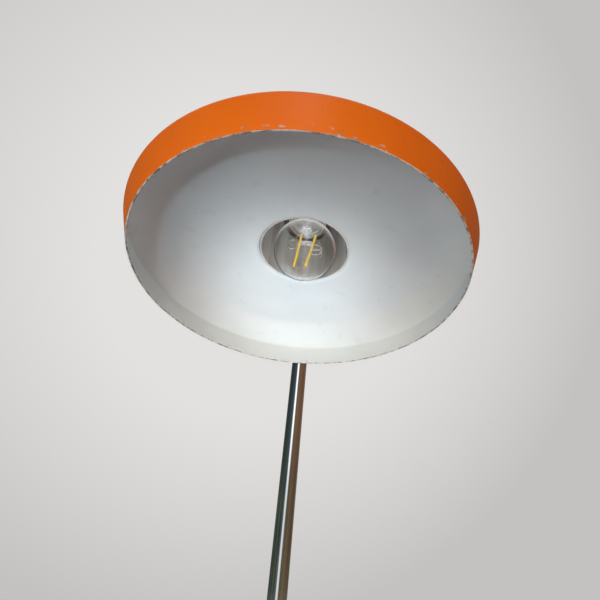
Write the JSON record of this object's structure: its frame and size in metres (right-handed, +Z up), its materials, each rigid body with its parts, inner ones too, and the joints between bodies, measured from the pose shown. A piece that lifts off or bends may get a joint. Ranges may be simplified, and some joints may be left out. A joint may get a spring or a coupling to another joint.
{
  "type": "desk lamp",
  "caption": "Desk lamp with a shallow dish shade under a round housing, on a bent tube arm with a tilting knuckle, swivelling in a weighted round base with a push switch.",
  "frame": {"origin": "centre of the felt pad under the base, on the stem's axis, at table height", "axes": "+Z up along the stem; the arm and the shade reach forward along -Y; the tilt pivot lies along X"},
  "size_m": [0.2342, 0.3426, 0.4146],
  "materials": {
    "orange_enamel": "stove enamel, orange outside and white inside the shade",
    "chrome_plate": "polished",
    "plated_steel": "zinc or nickel plated",
    "brass": "plain",
    "bakelite": "dark moulded plastic",
    "ceramic": "glazed ceramic",
    "clear_glass": "clear",
    "solder": "tinned",
    "filament": "yellow phosphor",
    "fibre": "pressed fibre",
    "nylon": "natural",
    "cast_iron": "as cast",
    "felt": "dark felt",
    "rubber": "matte",
    "switch_black": "gloss",
    "terminal_plastic": "translucent white",
    "lead_pvc": "smooth sheath"
  },
  "bodies": {
    "base": {"base_cover": "orange_enamel", "base_weight": "cast_iron", "base_plate": "plated_steel", "plate_screws": "plated_steel", "felt_pad": "felt", "cord_grommet": "rubber", "stem_bush": "nylon", "swivel_washer": "nylon", "switch_can": "bakelite", "switch_nut": "plated_steel", "switch_bezel": "chrome_plate", "switch_tabs": "brass", "terminal_block": "terminal_plastic", "terminal_screws": "plated_steel", "base_lead": "lead_pvc", "switch_leads": "lead_pvc"},
    "button": {"switch_button": "switch_black"},
    "stem": {"stem_tube": "chrome_plate", "stem_foot": "plated_steel", "stem_collar": "chrome_plate", "spring_washer": "plated_steel", "stop_washer": "plated_steel", "stem_nut": "plated_steel", "stem_lead": "lead_pvc", "knuckle_arm_half": "chrome_plate", "friction_ring": "fibre", "pivot_screw": "chrome_plate", "knob_washer": "plated_steel"},
    "knob": {"clamp_knob": "bakelite", "knob_insert": "brass"},
    "head": {"shade": "orange_enamel", "housing": "chrome_plate", "shade_screws": "plated_steel", "nipple": "brass", "nipple_nut": "plated_steel", "nipple_spacer": "plated_steel", "finial": "chrome_plate", "lampholder_skirt": "bakelite", "lampholder_cap": "bakelite", "lampholder_insert": "ceramic", "thread_shell": "brass", "centre_contact": "brass", "holder_screws": "plated_steel", "knuckle_head_half": "chrome_plate", "knuckle_nut": "plated_steel", "head_lead": "lead_pvc"},
    "bulb_tip": {"bulb_contact": "solder"},
    "bulb": {"bulb_glass": "clear_glass", "bulb_cap": "plated_steel", "bulb_insulator": "bakelite", "bulb_mount": "clear_glass", "bulb_filaments": "filament", "bulb_wires": "plated_steel"}
  },
  "joints": [
    {"name": "stem_swivel", "type": "hinge", "parent": "base", "child": "stem", "pos_m": [0, 0, 0.036], "axis": [0, 0, 1], "range_deg": [-160, 160]},
    {"name": "head_tilt", "type": "hinge", "parent": "stem", "child": "head", "pos_m": [0, -0.0842, 0.368], "axis": [-1, 0, 0], "range_deg": [-6, 70]},
    {"name": "clamp_knob_turn", "type": "hinge", "parent": "stem", "child": "knob", "pos_m": [0, -0.0842, 0.368], "axis": [1, 0, 0], "range_deg": [0, 180]},
    {"name": "switch_press", "type": "slide", "parent": "base", "child": "button", "axis": [0, 0, -1], "range_m": [0, 0.0035], "stiffness_N_per_m": 300, "springref_m": -0.001},
    {"name": "bulb_travel", "type": "slide", "parent": "head", "child": "bulb_tip", "axis": [0, 0, -1], "range_m": [0, 0.0216]},
    {"name": "bulb_turn", "type": "hinge", "parent": "bulb_tip", "child": "bulb", "pos_m": [0, -0.132, 0.36], "axis": [0, 0, -1], "range_deg": [0, 2160]}
  ],
  "couplings": [
    {"joint": "bulb_turn", "follows": "bulb_travel", "rad_per_m": 1745.3}
  ]
}
